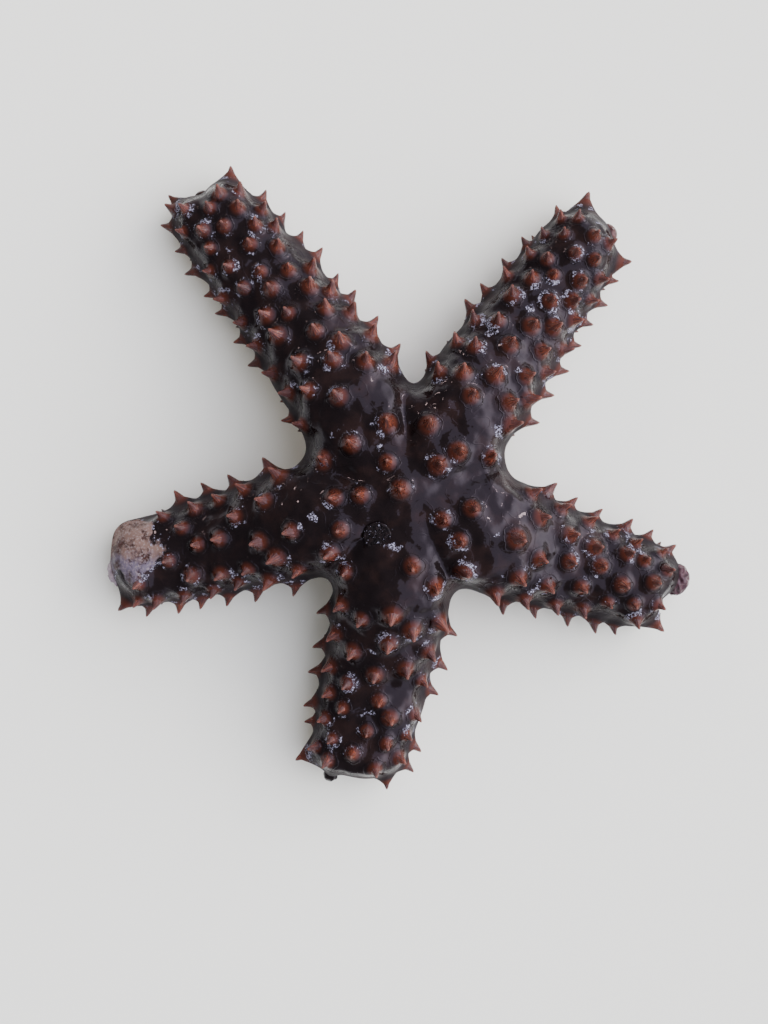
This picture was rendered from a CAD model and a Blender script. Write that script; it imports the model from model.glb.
# %% [markdown]
# # A thorny sea star, still wet
# The animal is a thick black-brown star with five blunt arms. Rust-coloured spines stand on it
# in loose rows, and water lies between them in flat pools. This lesson builds its skin, its
# spines and its underside as separate pieces, and paints them with procedural materials.
#
# The model that is used in the simulation comes in first, as the frame. Its coarse body parts
# are hidden later, when the finer pieces take their place, and its box is kept for comparison.

import math
import random
from dataclasses import dataclass

import bmesh
import bpy
from mathutils import Matrix, Quaternion, Vector, noise
from mathutils.bvhtree import BVHTree
from mathutils.kdtree import KDTree


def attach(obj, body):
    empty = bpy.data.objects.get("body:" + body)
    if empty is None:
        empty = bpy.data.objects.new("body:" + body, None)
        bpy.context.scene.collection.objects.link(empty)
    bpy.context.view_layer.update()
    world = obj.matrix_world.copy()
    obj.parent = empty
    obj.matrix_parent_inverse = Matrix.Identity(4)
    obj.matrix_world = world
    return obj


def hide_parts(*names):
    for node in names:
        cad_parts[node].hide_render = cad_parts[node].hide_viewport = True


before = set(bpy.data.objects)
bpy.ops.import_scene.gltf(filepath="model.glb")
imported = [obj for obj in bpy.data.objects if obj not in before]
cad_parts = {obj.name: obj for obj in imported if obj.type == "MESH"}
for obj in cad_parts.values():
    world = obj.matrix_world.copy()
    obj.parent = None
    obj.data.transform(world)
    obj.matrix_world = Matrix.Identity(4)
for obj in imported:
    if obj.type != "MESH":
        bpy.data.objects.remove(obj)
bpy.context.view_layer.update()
print("parts in the frame:", ", ".join(sorted(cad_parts)))

# %% [markdown]
# ## Sizes
# A sea star is easier to think about in millimetres, so every shape below is made in them, with
# the middle of the disc at x = y = 0. Each finished mesh is moved and scaled to metres once, at
# the end, which leaves its object at the origin with no turn or scale of its own.
#
# The five arms share one recipe and differ in a few numbers: direction, length, how far they
# bow, how wide they are at the root and near the tip, and how blunt the tip is.
#
# The disc's sole hangs LIFT above the floor. An arm begins to sink at ARCH_START and lies flat
# from the share ARCH_END of its length. CUT is how far out the disc gives way to the arm.

# %% Arms and body sizes, in millimetres
METRES = 0.001
DISC_PLACE = (1.185, -2.648)
LIFT = 4.4
ARCH_START, ARCH_END = 11.0, 0.68
ROOT_HEIGHT, END_HEIGHT, TIP_LEVEL = 11.8, 8.6, 3.0
WIDEST, BACK_FULLNESS, UNDERSIDE_FULLNESS, SOLE_BLUNT = 0.42, 2.15, 3.4, 5
FLAT_DEPTH = 0.25
CUT, GAP = 13.2, 0.3

UP_LEFT_CORNERS = ((0.4, 0.8), (-0.75, 0.95))
UP_RIGHT_CORNERS = ((0.44, 1.2), (-0.92, 1.1))
RIGHT_CORNERS = ((-0.75, 1.05),)
DOWN_CORNERS = ((-0.95, 1.0), (0.7, 0.8))
LEFT_CORNERS = ((0.75, 1.1),)


@dataclass
class Arm:
    """Direction in degrees, length, bow to the left, half-widths, length and bluntness of the
    round tip, the seed of its spines, the end plate's place across the tip and its radius, and
    the large spines at the tip's corners as (share of the half-width, size)."""

    name: str
    angle: float
    length: float
    bow: float
    root: float
    end: float
    cap: float
    blunt: float
    seed: int
    plate_at: float
    plate: float
    corners: tuple


ARMS = (
    Arm("arm_up_left", 124.7, 51.4, -1.7, 8.0, 6.4, 9.0, 2.6, 11, -0.6, 1.25, UP_LEFT_CORNERS),
    Arm("arm_up_right", 54.9, 47.3, 0.0, 7.5, 5.9, 8.0, 2.5, 12, -2.0, 1.5, UP_RIGHT_CORNERS),
    Arm("arm_right", 340.5, 39.4, -0.9, 8.1, 6.1, 5.8, 2.8, 13, 1.8, 2.3, RIGHT_CORNERS),
    Arm("arm_down", 259.4, 39.2, 0.8, 8.1, 6.8, 4.8, 3.2, 14, -2.9, 1.35, DOWN_CORNERS),
    Arm("arm_left", 193.6, 41.5, 0.3, 7.8, 6.3, 7.0, 2.7, 15, 0.8, 2.2, LEFT_CORNERS),
)
print(len(ARMS), "arms,", min(a.length for a in ARMS), "to", max(a.length for a in ARMS), "mm long")

# %% [markdown]
# ## The section of an arm
# Cut across, an arm is a round-backed loaf with a flatter sole. A superellipse gives both: an
# exponent near 2 is round, and a larger one is boxier. The arm hangs off the lifted disc, arches
# down, and lies on the floor for the outer third of its length. Near the end every size follows
# one round-off curve down to the tip.

# %% Helpers for the arm's shape


def smoothstep(low, high, x):
    t = min(1.0, max(0.0, (x - low) / (high - low)))
    return t * t * (3.0 - 2.0 * t)


def mix(a, b, t):
    return a + (b - a) * t


def heading(arm):
    """The directions along the arm and to its left, seen from above."""
    a = math.radians(arm.angle)
    return Vector((math.cos(a), math.sin(a), 0.0)), Vector((-math.sin(a), math.cos(a), 0.0))


def place(arm, s, across, z):
    along, left = heading(arm)
    t = s / arm.length
    point = along * s + left * (across + 4.0 * arm.bow * t * (1.0 - t))
    point.z = z
    return point


def section(arm, s):
    """Half-width, and the levels of the sole, the widest line and the back."""
    straight = arm.length - arm.cap
    t = max(0.0, min(1.0, (s - CUT) / (straight - CUT)))
    half = mix(arm.root, arm.end, t)
    low = LIFT * (1.0 - smoothstep(ARCH_START, ARCH_END * arm.length, s)) - FLAT_DEPTH
    back = low + mix(ROOT_HEIGHT, END_HEIGHT, t)
    if s > straight:
        u = min(1.0, (s - straight) / arm.cap)
        round_off = (1.0 - u**arm.blunt) ** (1.0 / arm.blunt)
        half *= round_off
        back = TIP_LEVEL + (back - TIP_LEVEL) * round_off
        low = TIP_LEVEL + (low - TIP_LEVEL) * (1.0 - u**SOLE_BLUNT) ** (1.0 / SOLE_BLUNT)
    return half, low, mix(low, back, WIDEST), back


def skin_point(arm, s, angle):
    """A point of the skin: s along the arm, and degrees round from its back to its left."""
    half, low, wide, back = section(arm, s)
    a = math.radians(angle)
    c, q = math.cos(a), math.sin(a)
    power = 2.0 / (BACK_FULLNESS if c >= 0 else UNDERSIDE_FULLNESS)
    across = math.copysign(half * abs(q) ** power, q)
    rise = abs(c) ** power
    z = mix(wide, back, rise) if c >= 0 else mix(wide, low, rise)
    return place(arm, s, across, z)


def skin_normal(arm, s, angle):
    along = skin_point(arm, s + 0.2, angle) - skin_point(arm, s - 0.2, angle)
    across = skin_point(arm, s, angle + 2.0) - skin_point(arm, s, angle - 2.0)
    return along.cross(across).normalized()


print("height of an arm's back at the root:", round(section(ARMS[0], CUT)[3], 1), "mm")

# %% [markdown]
# ## From rings to an arm
# An arm could be carved from a cylinder, but a ring that is extruded again and again keeps full
# control of the section. The first ring is a circle with a cap. Each extrude copies the rim, and
# the new points are set on the next section. A custom value on each point, its turn round the
# ring, is copied by the extrude too, so each new point knows where it belongs.

# %% Extrude a ring along a row of sections


def extruded_tube(name, stations, points, ring_place, tip=None):
    bm = bmesh.new()
    turn = bm.verts.layers.float.new("turn")
    bmesh.ops.create_circle(bm, cap_ends=True, segments=points, radius=1.0)
    for k, vert in enumerate(bm.verts):
        vert[turn] = 360.0 * k / points
        vert.co = ring_place(stations[0], vert[turn])
    rim, fresh = list(bm.edges), set()
    for s in stations[1:]:
        grown = bmesh.ops.extrude_edge_only(bm, edges=rim)["geom"]
        fresh = {g for g in grown if isinstance(g, bmesh.types.BMVert)}
        rim = [g for g in grown if isinstance(g, bmesh.types.BMEdge) and fresh.issuperset(g.verts)]
        for vert in fresh:
            vert.co = ring_place(s, vert[turn])
    if tip is None:
        bmesh.ops.edgeloop_fill(bm, edges=rim)
    else:
        bmesh.ops.pointmerge(bm, verts=list(fresh), merge_co=tip)
    bmesh.ops.recalc_face_normals(bm, faces=bm.faces)
    return mesh_object(name, bm)


def mesh_object(name, bm):
    mesh = bpy.data.meshes.new(name)
    bm.to_mesh(mesh)
    bm.free()
    obj = bpy.data.objects.new(name, mesh)
    bpy.context.scene.collection.objects.link(obj)
    return obj


ARM_STEPS, CAP_STEPS, ARM_POINTS = 40, 14, 56


def arm_blank(arm):
    """The whole arm from the middle of the disc to its tip."""
    straight = arm.length - arm.cap
    stations = [straight * k / ARM_STEPS for k in range(ARM_STEPS)]
    quarter = 0.5 * math.pi / CAP_STEPS
    stations += [straight + arm.cap * math.sin(quarter * k) for k in range(CAP_STEPS)]
    tip = place(arm, arm.length, 0.0, TIP_LEVEL)

    def ring_place(s, angle):
        return skin_point(arm, s, angle)

    return extruded_tube("blank", stations, ARM_POINTS, ring_place, tip)


blanks = [arm_blank(arm) for arm in ARMS]
print("faces in one arm blank:", len(blanks[0].data.polygons))

# %% [markdown]
# ## One body
# The arms run into one another in a low domed disc, with a rounded web between each pair. The
# pieces are fused with a Boolean union, and the groove under each arm and the mouth are cut from
# it. A voxel remesh then lays even small quads over the whole body, so that later steps can push
# points about as if it were clay.

# %% Fuse the body and cut the grooves
CROWN_RADIUS, CROWN_HEIGHT = 8.5, 12.2
WEB_RADIUS, WEB_REACH, WEB_HALF_HEIGHT = 3.3, 11.3, 4.6
WEB_LEVEL = 4.4
GROOVE_HALF, GROOVE_DEPTH, GROOVE_END = 2.0, 2.7, 0.42
GROOVE_SHORT, GROOVE_STEPS, GROOVE_POINTS = 2.2, 30, 24
MOUTH_RADIUS, MOUTH_DEPTH = 3.6, 3.4
VOXEL = 0.36


def settled(obj):
    """Bakes the object's modifiers into its mesh."""
    bpy.context.view_layer.update()
    graph = bpy.context.evaluated_depsgraph_get()
    mesh = bpy.data.meshes.new_from_object(obj.evaluated_get(graph))
    obj.modifiers.clear()
    obj.data = mesh
    return obj


def combined(obj, others, operation):
    """One Boolean with several objects, which are then thrown away."""
    group = bpy.data.collections.new("tools")
    bpy.context.scene.collection.children.link(group)
    for other in others:
        bpy.context.scene.collection.objects.unlink(other)
        group.objects.link(other)
    modifier = obj.modifiers.new("join", "BOOLEAN")
    modifier.operation = operation
    modifier.solver = "EXACT"
    modifier.operand_type = "COLLECTION"
    modifier.collection = group
    settled(obj)
    for other in others:
        bpy.data.objects.remove(other)
    bpy.data.collections.remove(group)
    return obj


def ellipsoid(name, centre, radii, segments=32, rings=20):
    bm = bmesh.new()
    bmesh.ops.create_uvsphere(bm, u_segments=segments, v_segments=rings, radius=1.0)
    bmesh.ops.scale(bm, vec=radii, verts=bm.verts)
    bmesh.ops.translate(bm, vec=centre, verts=bm.verts)
    return mesh_object(name, bm)


def notches():
    """Directions half-way between neighbouring arms, in radians."""
    angles = sorted(arm.angle % 360.0 for arm in ARMS)
    pairs = zip(angles, angles[1:] + [angles[0] + 360.0])
    return [math.radians((first + second) / 2.0) for first, second in pairs]


def narrowing(arm, s):
    """How the groove and all that grows in it get smaller towards the tip."""
    return mix(1.0, GROOVE_END, smoothstep(CUT, arm.length, s))


def groove_bar(arm):
    """A tapering round bar along the middle of the sole."""
    reach = arm.length - GROOVE_SHORT
    stations = [reach * k / GROOVE_STEPS for k in range(GROOVE_STEPS + 1)]

    def ring_place(s, angle):
        a, scale = math.radians(angle), narrowing(arm, s)
        low = section(arm, s)[1] + FLAT_DEPTH
        z = low + GROOVE_DEPTH * scale * math.sin(a)
        return place(arm, s, GROOVE_HALF * scale * math.cos(a), z)

    return extruded_tube("groove", stations, GROOVE_POINTS, ring_place)


pieces = list(blanks)
crown_radii = (CROWN_RADIUS, CROWN_RADIUS, 0.5 * CROWN_HEIGHT)
pieces.append(ellipsoid("crown", (0, 0, LIFT + 0.5 * CROWN_HEIGHT), crown_radii))
for a in notches():
    middle = (WEB_REACH * math.cos(a), WEB_REACH * math.sin(a), LIFT + WEB_LEVEL)
    pieces.append(ellipsoid("web", middle, (WEB_RADIUS, WEB_RADIUS, WEB_HALF_HEIGHT)))
skin = pieces.pop(0)
skin.name = "skin"
combined(skin, pieces, "UNION")
mouth_cut = ellipsoid("mouth", (0, 0, LIFT), (MOUTH_RADIUS, MOUTH_RADIUS, MOUTH_DEPTH))
combined(skin, [groove_bar(arm) for arm in ARMS] + [mouth_cut], "DIFFERENCE")
remesh = skin.modifiers.new("clay", "REMESH")
remesh.mode = "VOXEL"
remesh.voxel_size = VOXEL
settled(skin)
print("faces after the remesh:", len(skin.data.polygons))

# %% [markdown]
# ## Soft joints
# Where two lofted arms meet there is a hard crease. Living skin bridges it in a soft curve, so
# the points near each notch are relaxed many times, most of all at the notch itself. A few light
# rounds over everything take the steps of the voxels away.

# %% Relax the notches, then the whole skin
NOTCH_REACH = 13.0
NOTCH_ROUNDS = ((7.0, 10), (5.0, 16), (3.5, 16))
RELAX_PER_VOXEL = 0.55 / VOXEL


def relax(bm, verts, rounds, factor=0.5):
    for _ in range(rounds):
        bmesh.ops.smooth_vert(
            bm, verts=verts, factor=factor, use_axis_x=True, use_axis_y=True, use_axis_z=True
        )


clay = bmesh.new()
clay.from_mesh(skin.data)
spots = [Vector((NOTCH_REACH * math.cos(a), NOTCH_REACH * math.sin(a))) for a in notches()]
reach = {v: min((v.co.xy - spot).length for spot in spots) for v in clay.verts}
for radius, rounds in NOTCH_ROUNDS:
    near = [v for v in clay.verts if reach[v] < radius]
    relax(clay, near, round(rounds * RELAX_PER_VOXEL**2))
relax(clay, clay.verts, 3)
for vert in clay.verts:
    vert.co.z = max(vert.co.z, 0.0)
clay.normal_update()
surface = BVHTree.FromBMesh(clay)
print("points in the clay:", len(clay.verts))

# %% [markdown]
# ## Where the spines stand
# Spines grow in rough rows along each arm, each row shifted against the next, closer together
# and smaller towards the tip. Rings of them stand on the disc. They could be scattered over the
# faces at random, but then the rows would be lost. Here a seeded generator only shakes each one
# a little, so the rows look grown and come out the same every time. A spine that would crowd
# another is left out.

# %% Sizes and rows of the spines
SPINE_HEIGHT, SPINE_RADIUS = 2.35, 1.3
SPINE_SPACING, TIP_SPACING = 2.75, 0.78
ROW_ANGLES = (0, 27, -27, 54, -54, 81, -81, 116, -116)
ROW_START = {0: 15.4, 27: 17.6, 54: 15.4, 81: 17.2, 116: 16.4}
ROW_PITCH, TIP_PITCH, ROW_JITTER = 4.5, 0.72, 0.55
ROOT_ROOM, THORN_CLEARANCE = 1.9, 1.5
ROW_SWING, MIDDLE_SWING, SPINE_SIZES = 6.0, 1.4, (0.86, 1.1)
EDGE_ROW, EDGE_SPINE_SCALE = 81, 1.02
LOW_ROW, LOW_SPINE_SCALE, TIP_SPINE_SCALE = 100, 0.52, 0.78
DISTAL_LEAN, LEAN_JITTER = 0.32, 0.12
DISC_LEAN, DISC_SWING, DISC_SIZES = 0.5, 7.0, (0.86, 1.05)
DISC_RINGS = ((0.8, (0,)), (5.4, (-8,)), (9.2, (-17, 14)), (12.2, (-28, 26)))
DISC_SEED, DISC_TOP = 5, 16.5
MADREPORITE_PLACE, MADREPORITE_ROOM = (-3.6, -5.2), 3.3
TIP_PLATE_LEVEL, TIP_PLATE_RISE, TIP_PLATE_SINK, TIP_PLATE_ROOM = 2.8, 0.5, 0.42, 1.85
CORNER_ANGLE, CORNER_RISE, CORNER_MOUND, ROW_END = 80.0, 0.25, 1.3, 1.2
BARE_PLACE, BARE_RADIUS = (-37.5, -6.6), 4.2
FLOOR_CLEARANCE, NORMAL_REACH, SEEK_FROM = 0.3, 1.3, 4.0

print(len(ROW_ANGLES), "rows of spines on each arm")

# %% What is known of one spine


@dataclass
class Thorn:
    """One spine: its foot, direction and sizes, and its place on a flat chart of the skin."""

    foot: Vector
    direction: Vector
    height: float
    radius: float
    chart: tuple
    on_disc: bool
    normal: Vector = None
    mound: float = 1.0

    def marks(self):
        return [self.foot + self.direction * (self.height * part) for part in (0.0, 0.5, 1.0)]

    def lean(self, rise):
        """How far the axis has left the skin's normal at this share of the height."""
        return (self.direction - self.normal) * (self.height * max(0.0, rise) ** 1.5)


def clear_of(thorn, others, spacing):
    for other in others:
        if (thorn.foot - other.foot).length < spacing:
            return False
        if any((a - b).length < THORN_CLEARANCE for a in thorn.marks() for b in other.marks()):
            return False
    return True


def above_floor(foot, direction, height):
    least = (FLOOR_CLEARANCE + 0.1 - foot.z) / height
    if direction.z >= least:
        return direction
    level = direction.xy.normalized() * math.sqrt(max(0.0, 1.0 - least * least))
    return Vector((level.x, level.y, least))


# %% A flat chart of the skin, and the places that stay free
CHART_LENGTH, CHART_DISC, CHART_STRIPS = 60.0, 40.0, 6.0


def arm_chart(arm, s, angle):
    """A place on the skin's flat chart, which has a strip for each arm and one for the disc."""
    round_arm = 0.9 * (angle % 360.0 - 180.0) / 360.0
    return (s + 3.0) / CHART_LENGTH, (ARMS.index(arm) + 0.5 + round_arm) / CHART_STRIPS


def disc_chart(foot):
    """The disc has the last strip, which shows it from above."""
    return 0.5 + foot.x / CHART_LENGTH, (5.5 + foot.y / CHART_DISC) / CHART_STRIPS


def allowed(arm, thorn, placed, spacing):
    """Keeps a spine off the end plate, off the worn patch and clear of its neighbours."""
    plate = place(arm, arm.length, arm.plate_at, TIP_PLATE_LEVEL + TIP_PLATE_RISE * arm.plate)
    if (thorn.foot - plate).length < arm.plate + TIP_PLATE_ROOM:
        return False
    if (thorn.foot.xy - Vector(BARE_PLACE)).length < BARE_RADIUS:
        return False
    return clear_of(thorn, placed, spacing)


# %% Spines at the tip's corners, along the arms and on the disc


def corner_thorns(arm, placed):
    """The large spines that give the arm's tip its corners."""
    along = heading(arm)[0]
    for share, size in arm.corners:
        round_off = (1.0 - abs(share) ** arm.blunt) ** (1.0 / arm.blunt)
        s = arm.length - arm.cap + arm.cap * round_off
        turn = math.copysign(CORNER_ANGLE, share)
        lean = along * DISTAL_LEAN + Vector((0.0, 0.0, CORNER_RISE))
        direction = (skin_normal(arm, s, turn) + lean).normalized()
        foot, chart = skin_point(arm, s, turn), arm_chart(arm, s, turn)
        thorn = Thorn(foot, direction, SPINE_HEIGHT * size, SPINE_RADIUS * size, chart, False)
        if allowed(arm, thorn, placed, SPINE_SPACING):
            thorn.mound = CORNER_MOUND
            placed.append(thorn)


def arm_thorns(arm, placed):
    rng = random.Random(arm.seed)
    along = heading(arm)[0]
    for angle in ROW_ANGLES:
        s = ROW_START[abs(angle)] + rng.uniform(-0.5, 0.5)
        while s < arm.length - ROW_END:
            t = smoothstep(CUT, arm.length, s)
            at = min(s + rng.uniform(-ROW_JITTER, ROW_JITTER), arm.length - ROW_END)
            at = max(at, CUT + GAP + ROOT_ROOM)
            turn = angle + rng.uniform(-ROW_SWING, ROW_SWING) * (1.0 if angle else MIDDLE_SWING)
            size = mix(1.0, TIP_SPINE_SCALE, t) * rng.uniform(*SPINE_SIZES)
            if abs(angle) == EDGE_ROW:
                size *= EDGE_SPINE_SCALE
            if abs(angle) > LOW_ROW:
                size *= LOW_SPINE_SCALE
            lean = DISTAL_LEAN + rng.uniform(-LEAN_JITTER, LEAN_JITTER)
            height = SPINE_HEIGHT * size
            foot = skin_point(arm, at, turn)
            direction = (skin_normal(arm, at, turn) + along * lean).normalized()
            direction = above_floor(foot, direction, height)
            chart = arm_chart(arm, at, turn)
            thorn = Thorn(foot, direction, height, SPINE_RADIUS * size, chart, False)
            if allowed(arm, thorn, placed, SPINE_SPACING * mix(1.0, TIP_SPACING, t)):
                placed.append(thorn)
            s += ROW_PITCH * mix(1.0, TIP_PITCH, t)


def disc_thorns(placed):
    rng = random.Random(DISC_SEED)
    for radius, turns in DISC_RINGS:
        for arm in ARMS:
            for turn in turns:
                swing = turn + rng.uniform(-DISC_SWING, DISC_SWING)
                a = math.radians(arm.angle + swing)
                edge = (CUT - ROOT_ROOM) / math.cos(math.radians(swing))
                reach = min(radius + rng.uniform(-0.5, 0.5), edge)
                foot = Vector((reach * math.cos(a), reach * math.sin(a), DISC_TOP))
                if (foot.xy - Vector(MADREPORITE_PLACE)).length < MADREPORITE_ROOM:
                    continue
                lean = DISC_LEAN * reach / CUT
                direction = Vector((lean * math.cos(a), lean * math.sin(a), 1.0)).normalized()
                size = rng.uniform(*DISC_SIZES)
                height, width = SPINE_HEIGHT * size, SPINE_RADIUS * size
                thorn = Thorn(foot, direction, height, width, disc_chart(foot), True)
                if clear_of(thorn, placed, SPINE_SPACING):
                    placed.append(thorn)


# %% Lay out the spines
thorns = []
disc_thorns(thorns)
for arm in ARMS:
    corner_thorns(arm, thorns)
    arm_thorns(arm, thorns)
for thorn in thorns:
    outward = Vector((0, 0, 1)) if thorn.on_disc else thorn.direction
    hit = surface.ray_cast(thorn.foot + outward * SEEK_FROM, -outward)[0]
    if hit is not None:
        thorn.foot = hit
    around = surface.find_nearest_range(thorn.foot, NORMAL_REACH)
    thorn.normal = sum((found[1] for found in around), Vector()).normalized()
print(len(thorns), "spines")

# %% [markdown]
# ## Swells, furrows and skirts
# The skin isn't an even tube. It swells between the spines, sinks in a furrow along each line
# where two arms meet, and is drawn up round every spine into a wide hollow skirt, like a tent
# round its pole. The skirts are what gives the outline its scallops. A skirt rises along the
# skin's normal and then bends over as its spine does. A few broad pushes shape the arms' ends.
# All this could be sculpted by hand, but as sums of simple pushes it stays easy to change. Values
# are stored on the points as they are moved, so that the paint can follow the shape.

# %% Sizes of the relief
SKIRT_RADIUS, SKIRT_HEIGHT, SKIRT_POWER = 2.6, 1.6, 1.9
SWELL_HEIGHT, SWELL_SIZE = 0.45, 4.6
DIMPLE_HEIGHT, DIMPLE_SIZE = 0.20, 1.5
FURROW_DEPTH, FURROW_HALF = 0.55, 0.9
FURROW_STARTS, FURROW_STOPS, FURROW_WANDER, FURROW_BEND = (4.5, 9.0), (12.5, 14.5), 0.7, 0.35
SOLE_SLOPE, FLANK_SLOPE, FURROW_SLOPE = (-0.5, 0.1), (0.35, 0.78), (0.2, 0.6)
FLANK_CALM = 0.12
BARE_WANDER, BARE_FULL, BARE_GONE, BARE_SLOPE = 2.2, 0.6, 1.45, (0.0, 0.4)

# Each form is x, y, radius and push. The up-left arm ends in two lobes with a notch between
# them, the right arm in one lobe between two hollows, and the lower arm has a small swelling.
TIP_FORMS = (
    (-31.6, 41.4, 2.2, 0.7),
    (-25.2, 43.0, 2.2, 0.3),
    (-28.0, 42.2, 1.9, -1.0),
    (37.3, -10.6, 2.2, 0.4),
    (36.7, -7.0, 1.5, -0.6),
    (36.2, -14.6, 1.8, -0.8),
    (-9.8, -37.6, 1.0, 0.6),
)
print(len(TIP_FORMS), "forms at the arms' ends")

# %% Skirts, furrows and swells
feet_tree = KDTree(len(thorns))
for k, thorn in enumerate(thorns):
    feet_tree.insert(thorn.foot, k)
feet_tree.balance()


def skirt(point):
    """How far a point is pulled up by the spines near it, and how near the nearest one is."""
    pull, best = Vector(), 0.0
    for foot, k, distance in feet_tree.find_range(point, SKIRT_RADIUS * 1.15):
        thorn = thorns[k]
        size = thorn.radius / SPINE_RADIUS
        offset = point - foot
        aside = (offset - thorn.normal * offset.dot(thorn.normal)).length
        near = max(0.0, 1.0 - aside / (SKIRT_RADIUS * size))
        if near > best:
            best, height = near, SKIRT_HEIGHT * size * thorn.mound * near**SKIRT_POWER
            pull = thorn.normal * height + thorn.lean(height / thorn.height)
    return pull, best


def furrow(point):
    """How deep the furrow between two arms is at this point, from 0 to 1."""
    depth = 0.0
    for a in notches():
        out = Vector((math.cos(a), math.sin(a)))
        s, side = point.xy.dot(out), abs(point.xy.dot(Vector((-out.y, out.x))))
        run = smoothstep(*FURROW_STARTS, s) * (1.0 - smoothstep(*FURROW_STOPS, s))
        wander = FURROW_WANDER * noise.noise(Vector((s * FURROW_BEND, a, 0.0)))
        depth = max(depth, run * math.exp(-(((side + wander) / FURROW_HALF) ** 2)))
    return depth


def relief(point, normal, near):
    """Swells, dimples, furrows and tip forms, as a push along the skin's normal."""
    push = noise.noise(point / SWELL_SIZE) * SWELL_HEIGHT
    calm = mix(FLANK_CALM, 1.0, smoothstep(*FLANK_SLOPE, normal.z))
    push += noise.noise(point / DIMPLE_SIZE) * DIMPLE_HEIGHT * calm * (1.0 - near)
    for x, y, radius, height in TIP_FORMS:
        push += height * math.exp(-((point.xy - Vector((x, y))).length_squared / radius**2))
    push *= smoothstep(*SOLE_SLOPE, normal.z)
    return push - FURROW_DEPTH * furrow(point) * smoothstep(*FURROW_SLOPE, normal.z)


# %% Push the clay into shape
near_layer = clay.verts.layers.float.new("near_spine")
sole_layer = clay.verts.layers.float.new("sole")
steep_layer = clay.verts.layers.float.new("steep")
bare_layer = clay.verts.layers.float.new("worn")
pulls = {}
for vert in clay.verts:
    p, n = vert.co, vert.normal
    pull, near = skirt(p)
    vert[near_layer] = near
    vert[sole_layer] = 1.0 - smoothstep(*SOLE_SLOPE, n.z)
    vert[steep_layer] = 1.0 - smoothstep(*FLANK_SLOPE, n.z)
    distance = (p.xy - Vector(BARE_PLACE)).length + BARE_WANDER * noise.noise(p / BARE_WANDER)
    worn = 1.0 - smoothstep(BARE_RADIUS * BARE_FULL, BARE_RADIUS * BARE_GONE, distance)
    vert[bare_layer] = worn * smoothstep(*BARE_SLOPE, n.z)
    pulls[vert] = n * relief(p, n, near) + pull
for vert, pull in pulls.items():
    vert.co += pull
    vert.co.z = max(vert.co.z, 0.0)
relax(clay, clay.verts, 1, 0.3)
for thorn in thorns:
    thorn.foot = thorn.foot + thorn.normal * relief(thorn.foot, thorn.normal, 1.0)
print("highest point of the skin:", round(max(v.co.z for v in clay.verts), 2), "mm")

# %% [markdown]
# ## The skin joins the frame
# On the animal one skin runs over the disc and all the arms without a seam. The frame's parts
# end at thin cuts instead, because each is a solid of its own. So this single mesh takes the
# place of all six. Every later piece is finished in the same way: written, moved and scaled to
# metres, and set to ride on the one body.

# %% Turn the clay into the skin


def finished(obj, bm=None):
    """Writes the mesh, moves and scales it into the frame, and lets it ride on the body."""
    if bm is not None:
        bm.to_mesh(obj.data)
        bm.free()
    move = Matrix.Translation(Vector((*DISC_PLACE, 0.0)))
    obj.data.transform(Matrix.Scale(METRES, 4) @ move)
    obj.data.polygons.foreach_set("use_smooth", [True] * len(obj.data.polygons))
    obj.data.update()
    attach(obj, "root")
    triangles = sum(len(p.vertices) - 2 for p in obj.data.polygons)
    print(obj.name, triangles, "triangles")
    return obj


finished(skin, clay)
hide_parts("disc", *(arm.name for arm in ARMS))

# %% [markdown]
# ## A spine
# A spine has the outline of a rose thorn: a wide foot that runs out into the skin, a hollow
# flank and a small worn point. It could be pulled out of a cone by hand, but spinning one
# profile round its axis keeps the hollow even. A few versions with different ridges are enough,
# because each copy is also turned, bent and scaled.

# %% Spin a few spines
SPINE_PROFILE = (
    (0.0, -0.12),
    (1.15, -0.02),
    (0.88, 0.13),
    (0.67, 0.28),
    (0.49, 0.46),
    (0.33, 0.66),
    (0.17, 0.88),
    (0.0, 0.98),
)
SPINE_TURNS, SPINE_VERSIONS = 9, 6
RIDGE_ROOM = (0.10, 0.32)


def spun(profile, turns, name="spun"):
    """A closed shape spun from (radius, height) points, the first and last on the axis."""
    bm = bmesh.new()
    line = [bm.verts.new((r, 0.0, h)) for r, h in profile]
    edges = [bm.edges.new(pair) for pair in zip(line, line[1:])]
    bmesh.ops.spin(
        bm,
        geom=line + edges,
        cent=(0, 0, 0),
        axis=(0, 0, 1),
        dvec=(0, 0, 0),
        angle=math.tau,
        steps=turns,
        use_merge=True,
        use_duplicate=False,
    )
    bmesh.ops.remove_doubles(bm, verts=bm.verts, dist=1e-5)
    bmesh.ops.recalc_face_normals(bm, faces=bm.faces)
    mesh = bpy.data.meshes.new(name)
    bm.to_mesh(mesh)
    bm.free()
    return mesh


def ridged_spine(seed):
    """One version of the spine, with its own soft ridges down the flanks."""
    mesh = spun(SPINE_PROFILE, SPINE_TURNS, "spine")
    rng = random.Random(seed)
    waves = [(rng.choice((3, 4, 5)), rng.uniform(0, math.tau), rng.uniform(0.02, 0.05))]
    waves.append((rng.choice((2, 6)), rng.uniform(0, math.tau), rng.uniform(0.015, 0.03)))
    for vert in mesh.vertices:
        around = math.atan2(vert.co.y, vert.co.x)
        ridge = sum(size * math.cos(count * around + lag) for count, lag, size in waves)
        ridge = 1.0 + ridge * smoothstep(*RIDGE_ROOM, vert.co.z)
        vert.co.x *= ridge
        vert.co.y *= ridge
    return mesh


spine_meshes = [ridged_spine(seed) for seed in range(SPINE_VERSIONS)]
print("faces in one spine:", len(spine_meshes[0].polygons))

# %% [markdown]
# ## Planting
# Hundreds of spines would be slow as objects of their own, so the copies go into one mesh. Each
# point keeps its height in the spine and its place in the grain as values that the paint can
# read. The flat chart of the skin gives every copy a small patch of its own to be painted on, at
# the place of its root. The same planting is used for the tube feet and the groove spines.

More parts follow.
